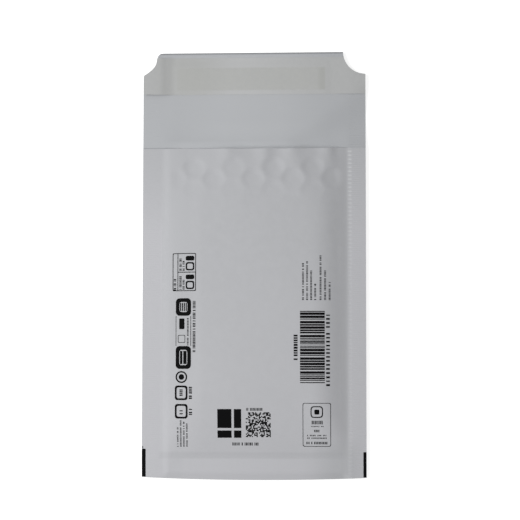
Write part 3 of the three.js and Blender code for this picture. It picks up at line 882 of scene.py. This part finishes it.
def hot_melt():
    made, tree = new_material("hot_melt_adhesive")
    place = node(tree, "TexCoord").outputs["Object"]
    ripple = node(tree, "TexNoise", {
        "Vector": place, "Scale": noise_scale(ripple_size), "Detail": 1.0,
    })
    bump = node(tree, "Bump", {"Height": ripple.outputs["Fac"], "Distance": 0.1 * MILLIMETRE})
    tone = node(tree, "MixRGB", {
        "Fac": ripple.outputs["Fac"], "Color1": linear("#B0AF9F"), "Color2": linear("#BAB9AC"),
    })
    shader = node(tree, "BsdfPrincipled", {
        "Base Color": tone.outputs[0], "Roughness": 0.3, "IOR": 1.48, "Normal": bump.outputs[0],
    })
    node(tree, "OutputMaterial", {"Surface": shader.outputs[0]})
    return made


adhesive = mesh_piece("adhesive_band", *flap_layer(
    np.linspace(adhesive_left, adhesive_right, 60),
    np.linspace(adhesive_bottom, adhesive_top, 16),
    lambda x, y: touch,
    adhesive_thickness,
))
adhesive.data.materials.append(hot_melt())
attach(adhesive, "root")
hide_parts("adhesive_strip")

# The release strip: siliconed paper over the adhesive, peeled off before sealing. It is stuck down
# only by the adhesive, so its left end has sprung a little off the flap, and its right end hardly.
strip_top = flap_end - 2.9
strip_bottom = strip_top - 20
strip_left = -half_width + 0.4
strip_thickness = 0.1
strip_ramp = 4.0
left_spring = 1.2
left_spring_start = adhesive_left - 0.5
left_spring_run = 9.0
left_slope = 0.1
left_slope_start = adhesive_left - 6
right_spring = 0.4
right_spring_start = adhesive_right + 1
right_spring_run = 16.0


def strip_height(x, y):
    """Over the adhesive and on a ramp all round it, else on the paper. Either end eases up from the
    adhesive's end, and the left one's tip goes on rising in a straight line."""
    over_x = ease(1 - np.maximum(np.maximum(adhesive_left - x, x - adhesive_right), 0) / strip_ramp)
    over_y = ease(1 - np.maximum(np.maximum(adhesive_bottom - y, y - adhesive_top), 0) / strip_ramp)
    sprung = left_spring * ease((left_spring_start - x) / left_spring_run)
    sprung = sprung + right_spring * ease((x - right_spring_start) / right_spring_run)
    sprung = sprung + left_slope * np.clip(left_slope_start - x, 0, None)
    return 2 * touch + adhesive_thickness * over_x * over_y + sprung


# Glassine with a silicone face: smooth, satin and cooler than the kraft, with clouds 2.4 mm across. The
# adhesive shows through it as a darker field, darkest at its right end. Its left part is greyer with
# painted shade, for its sprung end, and its middle paler with painted light.
glassine_cloud = 2.381
strip_shade = 0.42
end_shade = 0.5
strip_painted_light = 0.6


def release_paper():
    made, tree = new_material("siliconed_release_paper")
    place = node(tree, "TexCoord").outputs["Object"]
    cloud = node(tree, "TexNoise", {
        "Vector": place, "Scale": noise_scale(glassine_cloud), "Detail": 3.0, "Roughness": 0.6,
    })
    tones = []
    for dark, light in (("#AAABAB", "#B1B2B2"), ("#AAABAA", "#B1B2B0")):
        tones.append(node(tree, "MixRGB", {
            "Fac": cloud.outputs["Fac"], "Color1": linear(dark), "Color2": linear(light),
        }).outputs[0])
    plain, glued = tones
    axes = node(tree, "SeparateXYZ", {"Vector": place})
    across, along = axes.outputs["X"], axes.outputs["Y"]
    low_y, high_y = adhesive_bottom - flap_end / 2, adhesive_top - flap_end / 2
    over_x = within(tree, across, adhesive_left, adhesive_right, 0.8)
    over_y = within(tree, along, low_y, high_y, 0.8)
    inside = node(tree, "Math", {0: over_x, 1: over_y}, operation="MULTIPLY").outputs[0]
    at_end = within(tree, across, adhesive_right - 3.4, adhesive_right + 2, 2.4)
    glued = mixed_in(tree, glued, "#A0A19E", end_shade, at_end)
    # Painted light: the strip is paler in its middle.
    in_middle = within(tree, across, -30, 22, 46)
    plain = mixed_in(tree, plain, "#BABBBC", strip_painted_light, in_middle)
    tone = node(tree, "MixRGB", {"Fac": inside, "Color1": plain, "Color2": glued}).outputs[0]
    # Painted shade over the strip's sprung left part.
    at_start = within(tree, across, adhesive_left - 7, adhesive_left + 20, 18)
    tone = mixed_in(tree, tone, "#A0A19E", strip_shade, at_start)
    bump = node(tree, "Bump", {"Height": cloud.outputs["Fac"], "Distance": 0.03 * MILLIMETRE})
    shader = node(tree, "BsdfPrincipled", {
        "Base Color": tone, "Roughness": 0.48, "Specular IOR Level": 0.4,
        "Normal": bump.outputs[0],
    })
    node(tree, "OutputMaterial", {"Surface": shader.outputs[0]})
    return made


strip_columns = np.concatenate([
    np.linspace(strip_left, adhesive_left + 1, 34)[:-1],
    np.linspace(adhesive_left + 1, adhesive_right - 1, 70),
    np.linspace(adhesive_right - 1, half_width, 28)[1:],
])
strip = mesh_piece("release_paper", *flap_layer(
    strip_columns,
    np.linspace(strip_bottom, strip_top, 46),
    strip_height,
    strip_thickness,
))
strip.data.materials.append(release_paper())
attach(strip, "root")
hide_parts("release_strip")

# The camera looks almost straight down from 0.9 m, a little right of and below the middle.
picture_width = 520
focal_pixels = 1676.7
camera_data = bpy.data.cameras.new("camera")
camera_data.sensor_width = 36
camera_data.lens = camera_data.sensor_width * focal_pixels / picture_width
camera = bpy.data.objects.new("camera", camera_data)
camera.location = (0.0527, -0.0508, 0.9)
camera.rotation_euler = [math.radians(a) for a in (3.396, 3.155, 0.039)]
bpy.context.scene.collection.objects.link(camera)
bpy.context.scene.camera = camera

# One soft box up to the left, over a pale surround that lights from every side.
lamp_data = bpy.data.lights.new("soft_box", "AREA")
lamp_data.shape = "DISK"
lamp_data.size = 0.4
lamp_data.energy = 4.7
lamp = bpy.data.objects.new("soft_box", lamp_data)
lamp.location = (-0.431, 0.01, 0.674)
toward = -lamp.location.normalized()
lamp.rotation_euler = toward.to_track_quat("-Z", "Y").to_euler()
bpy.context.scene.collection.objects.link(lamp)

object_fill = 0.35


def looked_at(tree):
    """1 for rays that show the surroundings, straight or by way of gloss or glass, and 0 for light."""
    rays = node(tree, "LightPath").outputs
    seen = rays["Is Camera Ray"]
    for way in ("Is Glossy Ray", "Is Transmission Ray"):
        seen = node(tree, "Math", {0: seen, 1: rays[way]}, operation="MAXIMUM").outputs[0]
    return seen


world = bpy.data.worlds.new("surround")
world.use_nodes = True
world.node_tree.nodes.clear()
level = node(world.node_tree, "MapRange", {
    "Value": looked_at(world.node_tree), "To Min": object_fill, "To Max": 1.0,
})
background = node(world.node_tree, "Background", {
    "Color": (1.0, 1.0, 1.0, 1.0), "Strength": level.outputs[0],
})
node(world.node_tree, "OutputWorld", {"Surface": background.outputs[0]})
bpy.context.scene.world = world

# The white table top: painted board, dull all over. It takes the envelope's soft shadow, and glows just
# enough to read as white elsewhere.
table_glow = 0.8
floor_half = 3000.0
floor_drop = 0.1


def white_table():
    made, tree = new_material("white_table_top")
    glow = node(tree, "Math", {0: looked_at(tree), 1: table_glow}, operation="MULTIPLY")
    shader = node(tree, "BsdfPrincipled", {
        "Base Color": linear("#BEBEBE"), "Roughness": 0.9, "Specular IOR Level": 0.0,
        "Emission Color": (1.0, 1.0, 1.0, 1.0), "Emission Strength": glow.outputs[0],
    })
    node(tree, "OutputMaterial", {"Surface": shader.outputs[0]})
    return made


corner_x = np.array([-floor_half, floor_half])
floor_mesh = bpy.data.meshes.new("table_top")
floor_mesh.from_pydata(
    [(x * MILLIMETRE, y * MILLIMETRE, -floor_drop * MILLIMETRE) for y in corner_x for x in corner_x],
    [], [(0, 1, 3, 2)],
)
floor = bpy.data.objects.new("table_top", floor_mesh)
bpy.context.scene.collection.objects.link(floor)
floor_mesh.materials.append(white_table())

bpy.context.scene.view_settings.view_transform = "Standard"
